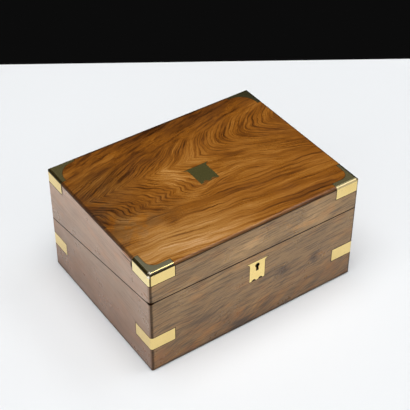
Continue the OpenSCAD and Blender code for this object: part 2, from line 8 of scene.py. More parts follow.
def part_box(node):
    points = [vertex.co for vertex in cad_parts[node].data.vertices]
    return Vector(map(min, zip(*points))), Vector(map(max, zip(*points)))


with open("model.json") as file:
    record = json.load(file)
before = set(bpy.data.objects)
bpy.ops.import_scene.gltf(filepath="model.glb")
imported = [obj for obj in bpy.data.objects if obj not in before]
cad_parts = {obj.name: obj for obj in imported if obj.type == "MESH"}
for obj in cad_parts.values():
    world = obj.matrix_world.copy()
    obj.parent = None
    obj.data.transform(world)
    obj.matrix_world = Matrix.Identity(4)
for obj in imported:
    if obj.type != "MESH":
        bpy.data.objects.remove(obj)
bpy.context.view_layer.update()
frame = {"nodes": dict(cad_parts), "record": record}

NODES = frame["nodes"]
MM = 0.001

# The box's own planes and lines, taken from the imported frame
HALF_W, HALF_D, TOP_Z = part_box("lid_top")[1]
CAP_LO, CAP_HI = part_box("cap_front_left")
STRAP_LO, STRAP_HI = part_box("strap_front_left")
ESC_LO, ESC_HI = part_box("escutcheon")
CART_LO, CART_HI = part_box("cartouche")
CAP_LEG = CAP_HI.x - CAP_LO.x
STRAP_LEG = STRAP_HI.x - STRAP_LO.x
# The parting line's heights at the lock side and the hinge side
PART_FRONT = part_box("base_front")[1].z
PART_BACK = TOP_Z / 2

# Sizes that the frame does not give. Flanges of the caps on the lid: widths, and radius inside the corner
FLANGE_SIDE = 7.5 * MM
FLANGE_FRONT = 9.5 * MM
FLANGE_BACK = 7 * MM
FLANGE_R_FRONT = 13 * MM
FLANGE_R_BACK = 25 * MM
# Share of a shield's width that its ears leave to the body, and how steeply the ears slant
BODY_SHARE = 0.71
EAR_SLANT = 1.6
# Middle of the keyhole, below the rim
KEY_Z = PART_FRONT - 20.5 * MM

# How far the lines of the lid's figure lie right of their tips, as shares of SHIFT_UNIT, at shares of
# FIGURE_DEPTH from the back edge: for the arrowheads on the left and the arches on the right
FIGURE_DEPTH = 0.180
SHIFT_UNIT = 0.2
ARROW_SHIFT = (
    (0.0, 1.0), (0.10, 0.90), (0.18, 0.70), (0.28, 0.36), (0.37, 0.19), (0.425, 0.11), (0.475, 0.0),
    (0.56, 0.09), (0.64, 0.185), (0.70, 0.195), (0.77, 0.215), (0.84, 0.33), (1.0, 0.9),
)
ARCH_SHIFT = (
    (0.0, 0.62), (0.1, 0.42), (0.18, 0.25), (0.28, 0.1), (0.36, 0.025), (0.41, 0.0),
    (0.47, 0.03), (0.53, 0.11), (0.60, 0.27), (0.70, 0.5), (0.85, 0.8), (1.0, 1.0),
)

# Lighter and darker places of the veneer: change of tone, middle and spread.
# On the lid the middle is measured to the right and to the front, from its back left corner
LID_SPOTS = (
    (-0.10, (0.004, 0.112), (0.040, 0.055)),
    (-0.10, (0.105, 0.055), (0.05, 0.024)),
    (0.13, (0.085, 0.206), (0.110, 0.030)),
    (0.10, (0.225, 0.130), (0.06, 0.026)),
    (0.12, (0.150, 0.092), (0.040, 0.032)),
    (-0.20, (0.072, 0.172), (0.009, 0.007)),
    (-0.18, (0.242, 0.179), (0.020, 0.0045)),
    (-0.16, (0.205, 0.108), (0.022, 0.004)),
    (-0.16, (0.160, 0.004), (0.2, 0.012)),
    (0.10, (0.070, 0.030), (0.022, 0.012)),
    (-0.12, (0.272, 0.212), (0.050, 0.018)),
    (-0.18, (0.222, 0.018), (0.060, 0.012)),
    (0.22, (0.117, 0.101), (0.022, 0.026)),
    (0.14, (0.123, 0.149), (0.022, 0.010)),
    (0.18, (0.040, 0.145), (0.026, 0.010)),
    (0.12, (0.250, 0.209), (0.026, 0.007)),
    (-0.12, (0.252, 0.115), (0.020, 0.012)),
    (0.10, (0.134, 0.219), (0.030, 0.010)),
    (0.10, (0.046, 0.185), (0.020, 0.012)),
    (-0.10, (0.066, 0.056), (0.030, 0.020)),
    (-0.08, (0.284, 0.080), (0.020, 0.020)),
    (0.10, (0.081, 0.226), (0.030, 0.008)),
)
# On the front, and the back that shares its figure, it is X and the height above the table
FRONT_SPOTS = (
    (-0.44, (0.039, 0.062), (0.012, 0.006)),
    (-0.22, (-0.080, 0.046), (0.026, 0.004)),
    (-0.34, (0.088, 0.058), (0.005, 0.007)),
    (0.34, (-0.008, 0.131), (0.030, 0.010)),
    (0.16, (0.085, 0.128), (0.05, 0.012)),
    (0.16, (0.000, 0.026), (0.010, 0.010)),
    (-0.34, (-0.022, 0.008), (0.014, 0.006)),
)
# Chips and gaps of the left side, beside its caps and at the parting line, with painted shade in their
# hollows: middle and spread in Y and Z
LEFT_CHIP_SHADES = (
    ((HALF_D - CAP_LEG - 1.3 * MM, TOP_Z - 9 * MM), (1.4 * MM, 7 * MM)),
    ((CAP_LEG - HALF_D + 1.6 * MM, TOP_Z - 10.5 * MM), (1.9 * MM, 5.0 * MM)),
    ((-0.0700, TOP_Z - 8.8 * MM), (11 * MM, 0.8 * MM)),
    ((-HALF_D, PART_FRONT + 0.6 * MM), (6 * MM, 1.5 * MM)),
)

# Tone of the walnut to colour: the lid's, the front's and back's, and the left and right sides'
LID_COLOURS = (
    (0.0, (0.040, 0.012, 0.002)), (0.25, (0.115, 0.036, 0.005)), (0.5, (0.238, 0.080, 0.008)),
    (0.72, (0.345, 0.140, 0.022)), (1.0, (0.520, 0.262, 0.080)),
)
FACE_COLOURS = (
    (0.0, (0.052, 0.029, 0.011)), (0.3, (0.132, 0.079, 0.030)), (0.55, (0.218, 0.135, 0.054)),
    (0.8, (0.315, 0.198, 0.080)), (1.0, (0.430, 0.270, 0.115)),
)
END_COLOURS = (
    (0.0, (0.215, 0.126, 0.080)), (0.5, (0.440, 0.284, 0.192)), (1.0, (0.620, 0.440, 0.318)),
)
# Painted light and shade: what these are multiplied by from the foot of the box to its top, darker low
# down and lighter high up
FACE_PAINTED_SHADE_BY_HEIGHT = (
    (0.0, (0.74, 0.61, 0.50)), (0.25, (1.05, 0.90, 0.76)), (0.6, (1.22, 1.12, 1.06)),
    (1.0, (1.36, 1.27, 1.22)),
)
END_PAINTED_SHADE_BY_HEIGHT = (
    (0.0, (0.45, 0.355, 0.285)), (0.25, (0.58, 0.455, 0.35)), (0.55, (0.80, 0.78, 0.75)),
    (1.0, (1.20, 1.18, 1.18)),
)
CORE_COLOURS = (
    (0.0, (0.070, 0.030, 0.014)), (0.5, (0.130, 0.058, 0.027)), (1.0, (0.200, 0.100, 0.050)),
)
# Near black for grime, and for painted shade along roundings, in the parting line and in chips
GRIME_AND_SHADE = (0.014, 0.005, 0.002)
BARE_SLIVER = (0.42, 0.17, 0.05)
# Painted shade inside the keyhole
KEYHOLE_SHADE = (0.004, 0.003, 0.002)

# Colours that wear and age give to the brass, and its painted shade, highlights and glint
BRASS_SPECK = (0.30, 0.20, 0.09)
BRASS_STRAP = (0.55, 0.42, 0.20)
BRASS_DULL = (0.155, 0.143, 0.060)
BRASS_DULL_DARK = (0.05, 0.046, 0.026)
BRASS_DULL_PALE = (0.50, 0.46, 0.30)
BRASS_DULL_GREEN = (0.14, 0.14, 0.03)
BRASS_PALE_SHEEN = (0.62, 0.49, 0.24)
BRASS_PAINTED_GLINT = (0.95, 0.90, 0.78)
ROUNDING_LEFT_SHADE = (0.032, 0.024, 0.007)
ROUNDING_RIGHT_SHADE = (0.030, 0.026, 0.010)
UPRIGHT_ROUNDING_SHADE = (0.045, 0.028, 0.008)


class Graph:
    """A material's node tree, built with short calls that take numbers or sockets."""

    def __init__(self, name):
        self.material = bpy.data.materials.new(name)
        self.material.use_nodes = True
        self.tree = self.material.node_tree
        self.tree.nodes.clear()
        output = self.node("ShaderNodeOutputMaterial")
        self.shader = self.node("ShaderNodeBsdfPrincipled")
        self.tree.links.new(self.shader.outputs[0], output.inputs["Surface"])

    def node(self, kind, **settings):
        made = self.tree.nodes.new(kind)
        for name, value in settings.items():
            setattr(made, name, value)
        return made

    def feed(self, socket, value):
        if isinstance(value, bpy.types.NodeSocket):
            self.tree.links.new(value, socket)
        else:
            socket.default_value = value

    def feed_all(self, made, values):
        """Values for a node's inputs, from the first one on."""
        for socket, value in zip(made.inputs, values):
            self.feed(socket, value)
        return made.outputs[0]

    def set(self, name, value):
        """A property of the surface: a number goes straight to the shader."""
        self.feed(self.shader.inputs[name], value)

    def bump(self, height, strength, distance):
        made = self.node("ShaderNodeBump")
        self.feed(made.inputs["Height"], height)
        made.inputs["Strength"].default_value = strength
        made.inputs["Distance"].default_value = distance
        self.set("Normal", made.outputs[0])

    def place(self):
        """Object coordinates, in metres in the row frame at rest."""
        return self.node("ShaderNodeTexCoord").outputs["Object"]

    def normal(self):
        return self.node("ShaderNodeTexCoord").outputs["Normal"]

    def split(self, vector):
        made = self.node("ShaderNodeSeparateXYZ")
        self.feed(made.inputs[0], vector)
        return made.outputs

    def join(self, x, y, z):
        return self.feed_all(self.node("ShaderNodeCombineXYZ"), (x, y, z))

    def math(self, operation, *values):
        return self.feed_all(self.node("ShaderNodeMath", operation=operation), values)

    def add(self, a, b):
        return self.math("ADD", a, b)

    def sub(self, a, b):
        return self.math("SUBTRACT", a, b)

    def mul(self, *values):
        total = values[0]
        for value in values[1:]:
            total = self.math("MULTIPLY", total, value)
        return total

    def absolute(self, value):
        return self.math("ABSOLUTE", value)

    def angle(self, value, length):
        """An angle that turns once round over each length of the value."""
        return self.mul(value, 2 * math.pi / length)

    def sine(self, angle):
        return self.math("SINE", angle)

    def most(self, *values):
        total = values[0]
        for value in values[1:]:
            total = self.math("MAXIMUM", total, value)
        return total

    def least(self, *values):
        total = values[0]
        for value in values[1:]:
            total = self.math("MINIMUM", total, value)
        return total

    def even(self, value, low, high, to_low=0.0, to_high=1.0):
        """A straight ramp between two values, level beyond them."""
        made = self.node("ShaderNodeMapRange", interpolation_type="LINEAR")
        return self.feed_all(made, (value, low, high, to_low, to_high))

    def span(self, value, low, high, to_low=0.0, to_high=1.0):
        """A smooth ramp between two values, level beyond them. low may be the higher one."""
        made = self.node("ShaderNodeMapRange", interpolation_type="SMOOTHSTEP")
        return self.feed_all(made, (value, low, high, to_low, to_high))

    def fade(self, value, near, far, level=1.0):
        """level up to near, and nothing beyond far."""
        return self.span(value, near, far, level, 0.0)

    def spot(self, x, y, at, size):
        """A soft spot: 1 in its middle, fading over size in X and Y."""
        dx = self.math("DIVIDE", self.sub(x, at[0]), size[0])
        dy = self.math("DIVIDE", self.sub(y, at[1]), size[1])
        far = self.add(self.mul(dx, dx), self.mul(dy, dy))
        return self.math("EXPONENT", self.mul(far, -1.0))

    def noise(self, vector, scale, detail, rough):
        made = self.node("ShaderNodeTexNoise")
        self.feed(made.inputs["Vector"], vector)
        self.feed(made.inputs["Scale"], scale)
        self.feed(made.inputs["Detail"], detail)
        self.feed(made.inputs["Roughness"], rough)
        return made.outputs[0]

    def wave(self, vector, scale, size, detail=2.0):
        """Noise about zero, size high from its middle."""
        return self.mul(self.sub(self.noise(vector, scale, detail, 0.5), 0.5), 2.0 * size)

    def curve(self, value, points, sharp=False):
        """A curve through given points, each (in, out)."""
        made = self.node("ShaderNodeFloatCurve")
        self.feed(made.inputs["Value"], value)
        line = made.mapping.curves[0]
        while len(line.points) < len(points):
            line.points.new(0.5, 0.5)
        for point, place in zip(line.points, points):
            point.location = place
            point.handle_type = "VECTOR" if sharp else "AUTO"
        made.mapping.update()
        return made.outputs[0]

    def ramp(self, value, stops):
        """A colour from a value. Each stop is (value, colour)."""
        made = self.node("ShaderNodeValToRGB")
        self.feed(made.inputs[0], value)
        elements = made.color_ramp.elements
        while len(elements) < len(stops):
            elements.new(0.5)
        for element, (at, colour) in zip(elements, stops):
            element.position = at
            element.color = (*colour, 1)
        return made.outputs[0]

    def blend(self, share, a, b):
        """The number a where share is 0, and b where it is 1."""
        made = self.node("ShaderNodeMix", data_type="FLOAT")
        self.feed(made.inputs[0], share)
        self.feed(made.inputs[2], a)
        self.feed(made.inputs[3], b)
        return made.outputs[0]

    def mix(self, share, a, b, how="MIX"):
        """The same for colours."""
        made = self.node("ShaderNodeMix", data_type="RGBA", blend_type=how)
        self.feed(made.inputs[0], share)
        for socket, value in ((made.inputs[6], a), (made.inputs[7], b)):
            self.feed(socket, (*value, 1) if isinstance(value, tuple) else value)
        return made.outputs[2]

    def tint(self, share, colour, factors):
        """The colour, multiplied by factors where share is 1."""
        return self.mix(share, colour, self.mix(1.0, colour, factors, "MULTIPLY"))


class Point:
    """Where the shaded point lies on the box, and which way it faces."""

    def __init__(self, g):
        self.place = g.place()
        self.x, self.y, self.z = g.split(self.place)
        self.ax = g.absolute(self.x)
        # Distances from the left or right side and from the front or back
        self.from_side = g.sub(HALF_W, self.ax)
        self.from_end = g.sub(HALF_D, g.absolute(self.y))
        # For the upright faces: how far from their corner it lies, and how deep below the surface
        self.corner = g.most(self.from_side, self.from_end)
        self.depth = g.least(self.from_side, self.from_end)
        nx, ny, self.up = g.split(g.normal())
        # From -1 on the left and right sides to 1 on the front and back
        self.turn = g.sub(g.absolute(ny), g.absolute(nx))
        self.in_front = g.span(self.y, 0.01, -0.01)


def lid_figure(g, x, y):
    """Measures across the lines of the lid's veneer, in metres, and the shares of two of its three parts.

    The middle holds nested arrowheads that point left, and arches on its right. Behind them the lines
    climb to the right, and in front of them they are long streaks.
    """
    u = g.add(x, HALF_W)
    v = g.sub(HALF_D, y)
    # The whole drawing wanders a little
    place = g.join(x, y, 0.31)
    u = g.add(u, g.add(g.wave(place, 26.0, 5.0 * MM), g.wave(place, 90.0, 1.2 * MM)))
    v = g.add(v, g.wave(g.join(x, y, 7.7), 22.0, 6.0 * MM))
    v = g.add(v, g.wave(g.join(x, y, 2.7), 80.0, 1.2 * MM))
    share = g.even(v, 0.0, FIGURE_DEPTH)
    arrow = g.curve(share, ARROW_SHIFT, sharp=True)
    arch = g.curve(share, ARCH_SHIFT)
    moved = g.mul(g.blend(g.span(u, 0.12, 0.21), arrow, arch), SHIFT_UNIT)
    # Ripples where the arrowheads' lower arms run straight down
    ripple = g.mul(g.sine(g.angle(v, 16 * MM)), 3.0 * MM)
    ripple = g.mul(ripple, g.spot(u, v, (0.085, 0.128), (0.048, 0.020)))
    arrows = g.add(g.sub(u, moved), ripple)
    climbing = g.add(v, g.mul(u, 0.24))
    streaks = g.sub(v, g.mul(u, 0.11))
    edge = g.add(v, g.wave(place, 40.0, 12 * MM, 3.0))
    behind = g.span(edge, 0.055, 0.034)
    ahead = g.span(edge, 0.140, 0.162)
    return arrows, climbing, streaks, behind, ahead


def veneer_lines(g, t, x, y, seed, coarse, fine, dark):
    """Tone from a measure across the lines: broad bands, thin dark lines and hairs."""
    slow_x = g.mul(x, 16.0)
    slow_y = g.add(g.mul(y, 16.0), seed)
    broad = g.noise(g.join(g.math("DIVIDE", t, coarse), slow_x, slow_y), 1.0, 1.0, 0.5)
    thin_place = g.join(g.math("DIVIDE", t, fine), g.mul(slow_x, 1.8), g.mul(slow_y, 1.8))
    thin = g.noise(thin_place, 1.0, 2.0, 0.55)
    hair = g.noise(g.join(g.mul(t, 1150.0), g.mul(slow_x, 7.0), g.mul(slow_y, 7.0)), 1.0, 2.0, 0.6)
    tone = g.add(g.mul(g.sub(broad, 0.5), 0.50), 0.58)
    tone = g.sub(tone, g.mul(g.span(thin, 0.53, 0.33), dark))
    return g.add(tone, g.mul(g.sub(hair, 0.5), 0.50)), thin


def pores(g, along, across, lengthwise, seed):
    """Short flecks that lie along a face and are narrower across it. lengthwise sets how short."""
    return g.noise(g.join(g.mul(along, lengthwise), g.mul(across, 900.0), seed), 1.0, 2.0, 0.6)


def add_pores(g, tone, fleck):
    return g.add(tone, g.mul(g.sub(fleck, 0.5), 0.16))


def add_spots(g, tone, x, y, spots, share=1.0):
    """The tone with its lighter and darker places, where share is 1."""
    for size, at, spread in spots:
        tone = g.add(tone, g.mul(g.spot(x, y, at, spread), share, size))
    return tone


def coloured(g, tone, colours):
    """The colour of a tone, which runs from 0.15 in the darkest wood to 0.95 in the palest."""
    return g.ramp(g.even(tone, 0.15, 0.95), colours)


def lid_colour(g, x, y, fleck):
    """The lid's veneer and its thin lines."""
    arrows, climbing, streaks, behind, ahead = lid_figure(g, x, y)
    u = g.add(x, HALF_W)
    v = g.sub(HALF_D, y)
    tone, thin = veneer_lines(g, arrows, x, y, 0.0, 17 * MM, 3.2 * MM, 0.22)
    rings = g.add(g.angle(arrows, 7.2 * MM), g.wave(g.join(x, y, 5.1), 24.0, 3.0))
    tone = g.sub(tone, g.mul(g.span(g.sine(rings), 0.45, 1.0), 0.15))
    back_tone, _ = veneer_lines(g, climbing, x, y, 3.0, 13 * MM, 3.6 * MM, 0.20)
    tone = g.blend(behind, tone, g.sub(back_tone, 0.04))
    fore_tone, fore_thin = veneer_lines(g, streaks, g.mul(x, 0.3), y, 8.0, 12 * MM, 2.9 * MM, 0.22)
    fore_tone = g.sub(fore_tone, g.mul(g.span(fore_thin, 0.34, 0.22), 0.20))
    tone = g.blend(ahead, tone, fore_tone)
    tone = add_pores(g, add_spots(g, tone, u, v, LID_SPOTS), fleck)
    colour = coloured(g, tone, LID_COLOURS)
    # A painted sheen in front, paler and tan, and greyish and purplish on the left
    front_sheen = g.spot(u, v, (0.045, 0.200), (0.085, 0.028))
    colour = g.tint(g.mul(front_sheen, 0.75), colour, (1.34, 1.72, 3.3))
    grey = g.spot(u, v, (0.038, 0.070), (0.036, 0.036))
    colour = g.tint(g.mul(grey, 0.8), colour, (0.78, 0.90, 1.40))
    purple = g.spot(u, v, (0.006, 0.118), (0.030, 0.055))
    purple = g.add(purple, g.spot(u, v, (0.040, 0.152), (0.050, 0.020)))
    purple = g.mul(purple, g.span(g.noise(g.join(x, y, 4.4), 60.0, 3.0, 0.6), 0.35, 0.6))
    colour = g.tint(purple, colour, (0.78, 0.95, 1.9))
    return colour, thin


def side_colour(g, at, front, along):
    """The upright faces' veneer. front is 1 on the front and back, and along runs sideways on a face."""
    z = at.z
    low = g.span(z, 0.085, 0.045)
    drift = g.wave(g.join(along, g.mul(z, 1.3), g.mul(front, 3.0)), 14.0, 11 * MM)
    level = g.add(g.add(z, g.mul(along, -0.05)), g.mul(drift, g.blend(low, 0.35, 1.0)))
    tone, _ = veneer_lines(g, level, along, g.mul(front, 2.0), 12.0, 14 * MM, 1.7 * MM, 0.32)
    # Curls lean to one side, and are strongest on the lower half
    lean_x = g.sub(g.mul(along, 42.0), g.mul(z, 60.0))
    lean_y = g.add(g.mul(z, 18.0), g.mul(along, 9.0))
    lean = g.join(lean_x, lean_y, g.mul(front, 9.0))
    curl = g.noise(lean, 1.0, 3.0, 0.5)
    slant = g.angle(g.sub(g.mul(along, 0.6), z), 7.5 * MM)
    swirl = g.span(g.sine(g.add(slant, g.mul(curl, 22.0))), 0.35, 0.95)
    where = g.span(g.noise(g.join(along, z, 6.0), 26.0, 1.0, 0.5), 0.42, 0.58)
    tone = g.sub(g.add(tone, 0.075), g.mul(swirl, where, g.blend(low, 0.04, 0.17)))
    tone = g.add(tone, g.mul(g.sub(curl, 0.5), g.blend(low, 0.16, 0.50)))
    tone = add_pores(g, tone, pores(g, along, z, 420.0, 4.0))
    tone = add_spots(g, tone, at.x, z, FRONT_SPOTS, front)
    # Clouds of warmer and cooler wood
    cloud = g.noise(g.join(g.mul(along, 30.0), g.mul(z, 60.0), g.mul(front, 4.0)), 1.0, 2.0, 0.5)
    height = g.even(z, 0.0, TOP_Z)

    face = coloured(g, tone, FACE_COLOURS)
    face = g.tint(g.span(cloud, 0.50, 0.72, 0.0, 0.55), face, (1.30, 1.03, 0.68))
    face = g.tint(g.span(cloud, 0.48, 0.30, 0.0, 0.45), face, (0.92, 0.95, 0.96))
    warm = g.mul(g.span(z, 0.052, 0.020), g.span(g.noise(lean, 1.4, 2.0, 0.5), 0.42, 0.60))
    face = g.tint(g.mul(warm, 0.7), face, (1.30, 1.07, 0.66))
    orange = g.mul(front, g.spot(at.x, z, (-0.140, 0.018), (0.009, 0.011)))
    face = g.mix(g.mul(orange, 0.6), face, (0.26, 0.115, 0.030))
    # Painted light and shade: darker towards the foot, lighter towards the top
    face = g.mix(1.0, face, g.ramp(height, FACE_PAINTED_SHADE_BY_HEIGHT), "MULTIPLY")

    # The left and right sides have half the contrast
    end = coloured(g, g.blend(0.5, tone, 0.55), END_COLOURS)
    # The same painted light and shade on the left and right sides
    end = g.mix(1.0, end, g.ramp(height, END_PAINTED_SHADE_BY_HEIGHT), "MULTIPLY")
    end = g.tint(g.span(cloud, 0.50, 0.72, 0.0, 0.7), end, (1.12, 0.97, 0.84))
    end = g.tint(g.span(cloud, 0.48, 0.30, 0.0, 0.6), end, (0.90, 0.94, 0.96))
    return g.mix(front, end, face)


def off_shield(g, across, along, half_width, low, high):
    """Distance outside the outline of a shield: its body, and the ears at its upper end."""
    from_middle = g.absolute(g.sub(along, (low + high) / 2))
    body = g.most(g.sub(across, half_width * BODY_SHARE), g.sub(from_middle, (high - low) / 2))
    slant = g.add(g.sub(across, half_width), g.mul(g.sub(high, along), EAR_SLANT))
    return g.least(body, g.most(slant, g.sub(along, high)))


def side_grime_and_shade(g, at, front, along):
    """Dark lines on the upright faces: grime against the brass, painted shade at the parting line, below
    the lid's top rounding and on the upright corners, and soot with painted contact shade along the foot.
    """
    z = at.z
    from_corner = g.blend(front, at.from_end, at.from_side)
    off_strap = g.most(g.sub(from_corner, STRAP_LEG), g.sub(STRAP_LO.z, z), g.sub(z, STRAP_HI.z))
    off_cap = g.most(g.sub(from_corner, CAP_LEG), g.sub(CAP_LO.z, z))
    off_escutcheon = off_shield(g, at.ax, z, ESC_HI.x, ESC_LO.z, ESC_HI.z)
    by_escutcheon = g.mul(front, at.in_front, g.fade(off_escutcheon, 0.2 * MM, 1.0 * MM, 0.9))
    # Painted shade in the parting line, which slopes from the lock side to the hinge side
    parting = g.even(at.y, HALF_D, -HALF_D, PART_BACK, PART_FRONT)
    off_parting = g.absolute(g.sub(z, parting))
    ragged = g.wave(g.join(along, z, 3.3), 60.0, 1.6 * MM)
    # A ragged dark band along the foot: soot, and painted contact shade
    foot = g.fade(g.add(z, ragged), 1.5 * MM, 6.5 * MM, 0.8)
    # Painted shade: a dark line just below the lid's top rounding
    top_rounding_shade = g.span(z, TOP_Z - 4.6 * MM, TOP_Z - 3.4 * MM, 0.0, 0.9)
    # Painted shade on the upright corners: dark on the front and back, and hardly on the sides
    upright = g.mul(g.fade(g.add(at.corner, ragged), 2.4 * MM, 4.6 * MM, 0.74),
                    g.span(at.turn, -0.55, 0.10, 0.25, 1.0))
    return g.most(
        g.fade(off_strap, 0.3 * MM, 1.6 * MM),
        g.fade(off_cap, 0.3 * MM, 1.6 * MM),
        by_escutcheon,
        g.fade(off_parting, 0.6 * MM, 1.1 * MM),
        foot,
        upright,
        top_rounding_shade,
    )


def lid_grime_and_shade(g, at):
    """Dark lines on the lid: grime against its brass, and painted shade along the roundings of its edges.
    """
    at_back = g.span(at.y, -0.01, 0.01)
    radius = g.blend(at_back, FLANGE_R_FRONT, FLANGE_R_BACK)
    width = g.blend(at_back, FLANGE_FRONT, FLANGE_BACK)
    short_x = g.most(g.sub(g.add(radius, FLANGE_SIDE), at.from_side), 0.0)
    short_y = g.most(g.sub(g.add(radius, width), at.from_end), 0.0)
    bend = g.math("SQRT", g.add(g.mul(short_x, short_x), g.mul(short_y, short_y)))
    off_flange = g.most(g.sub(radius, bend), g.sub(at.from_side, CAP_LEG), g.sub(at.from_end, CAP_LEG))
    off_cartouche = off_shield(g, at.ax, at.y, CART_HI.x, CART_LO.y, CART_HI.y)
    return g.most(
        g.fade(off_flange, 0.2 * MM, 1.2 * MM, 0.75),
        g.fade(off_cartouche, 0.2 * MM, 1.4 * MM, 0.6),
        # Painted shade along the roundings of the left and right, front and back edges
        g.fade(at.from_side, 2.2 * MM, 3.8 * MM, 0.66),
        g.fade(g.add(HALF_D, at.y), 1.2 * MM, 3.4 * MM, 0.60),
        g.fade(g.sub(HALF_D, at.y), 3.6 * MM, 6.6 * MM, 0.75),
    )


def keyhole(g, at):
    """1 on the wood inside the keyhole."""
    hole = g.mul(g.span(at.ax, 4.6 * MM, 4.0 * MM), g.spot(at.z, at.z, (KEY_Z, KEY_Z), (9 * MM, 9 * MM)))
    hole = g.mul(g.span(hole, 0.3, 0.35), g.span(at.y, -0.09, -0.10))
    return g.mul(hole, g.span(at.from_end, 0.1 * MM, 0.4 * MM))


def make_walnut():
    """Outside veneer: each face has its own figure, told apart by the way the face looks."""
    g = Graph("walnut_veneer")
    at = Point(g)
    x, y, z = at.x, at.y, at.z
    top = g.mul(g.span(g.absolute(at.up), 0.42, 0.50), g.span(z, TOP_Z - 8 * MM, TOP_Z - 6 * MM))
    front = g.span(at.turn, -0.05, 0.05)
    along = g.blend(front, y, x)
    fleck = pores(g, x, y, 500.0, 0.0)
    lid, thin = lid_colour(g, x, y, fleck)
    colour = g.mix(top, side_colour(g, at, front, along), lid)

    # Grime and painted shade, and chips whose hollows show the same dark colour as painted shade
    on_left = g.span(x, 0.01, -0.01)
    left_face = g.mul(on_left, g.sub(1.0, front))
    side_grime_and_shade_lines = side_grime_and_shade(g, at, front, along)
    for middle, size in LEFT_CHIP_SHADES:
        side_grime_and_shade_lines = g.most(side_grime_and_shade_lines, g.mul(left_face, g.spot(y, z, middle, size), 1.3))
    # One chip goes round the front left corner, at the parting line, with painted shade in it
    corner_chip_shade = g.spot(at.corner, z, (0.0, PART_FRONT - 0.1 * MM), (5.5 * MM, 2.0 * MM))
    corner_chip_shade = g.least(g.mul(corner_chip_shade, on_left, at.in_front, 2.0), 1.0)
    side_grime_and_shade_lines = g.least(g.most(side_grime_and_shade_lines, corner_chip_shade), 1.0)
    grime_and_shade = g.blend(top, side_grime_and_shade_lines, lid_grime_and_shade(g, at))
    # A torn sliver of veneer beside the front left cap shows clean, pale wood
    sliver = g.mul(left_face, g.spot(y, z, (-0.0690, TOP_Z - 4.5 * MM), (10 * MM, 1.8 * MM)))
    sliver = g.span(sliver, 0.3, 0.6)
    colour = g.mix(sliver, colour, BARE_SLIVER)
    grime_and_shade = g.mul(grime_and_shade, g.sub(1.0, sliver))
    colour = g.mix(grime_and_shade, colour, GRIME_AND_SHADE)

    # The veneer is thin: deeper in, the boards are plain solid wood
    depth = g.least(at.depth, g.sub(TOP_Z, z))
    core_place = g.join(g.mul(along, 9.0), g.mul(g.add(z, g.mul(depth, 3.0)), 260.0), 2.0)
    core = g.ramp(g.even(g.noise(core_place, 1.0, 4.0, 0.6), 0.25, 0.75), CORE_COLOURS)
    colour = g.mix(g.span(depth, 1.1 * MM, 1.6 * MM), colour, core)
    # Painted shade: inside the keyhole the wood is painted black
    colour = g.mix(keyhole(g, at), colour, KEYHOLE_SHADE)
    g.set("Base Color", colour)

    # The polish is patchy, and gone where there is grime or painted shade, or the corner's chip
    smear = g.noise(at.place, 30.0, 4.0, 0.6)
    g.set("Roughness", g.add(g.span(smear, 0.3, 0.75, 0.26, 0.40), g.mul(grime_and_shade, 0.25)))
    g.set("Specular IOR Level", g.mul(g.blend(grime_and_shade, 0.5, 0.12), g.sub(1.0, corner_chip_shade)))
    g.bump(g.add(g.mul(fleck, 0.3), g.mul(thin, 0.2)), 0.06, 0.1 * MM)
    return g.material


def make_inner_wood():
    """Plain straight grained wood of the fittings inside."""
    g = Graph("inner_wood")
    x, y, z = g.split(g.place())
    wander = g.noise(g.join(g.mul(x, 2.0), g.mul(y, 5.0), g.mul(z, 5.0)), 3.0, 2.0, 0.5)
    across = g.add(g.add(y, g.mul(z, 0.9)), g.mul(wander, 0.03))
    fine = g.noise(g.join(g.mul(across, 420.0), g.mul(x, 7.0), 0.0), 1.0, 4.0, 0.6)
    g.set("Base Color", g.ramp(g.even(fine, 0.25, 0.75), [
        (0.0, (0.085, 0.032, 0.014)), (0.45, (0.17, 0.07, 0.03)), (1.0, (0.27, 0.125, 0.055))]))
    g.set("Roughness", g.span(fine, 0.3, 0.8, 0.5, 0.62))
    g.bump(fine, 0.3, 0.2 * MM)
    return g.material


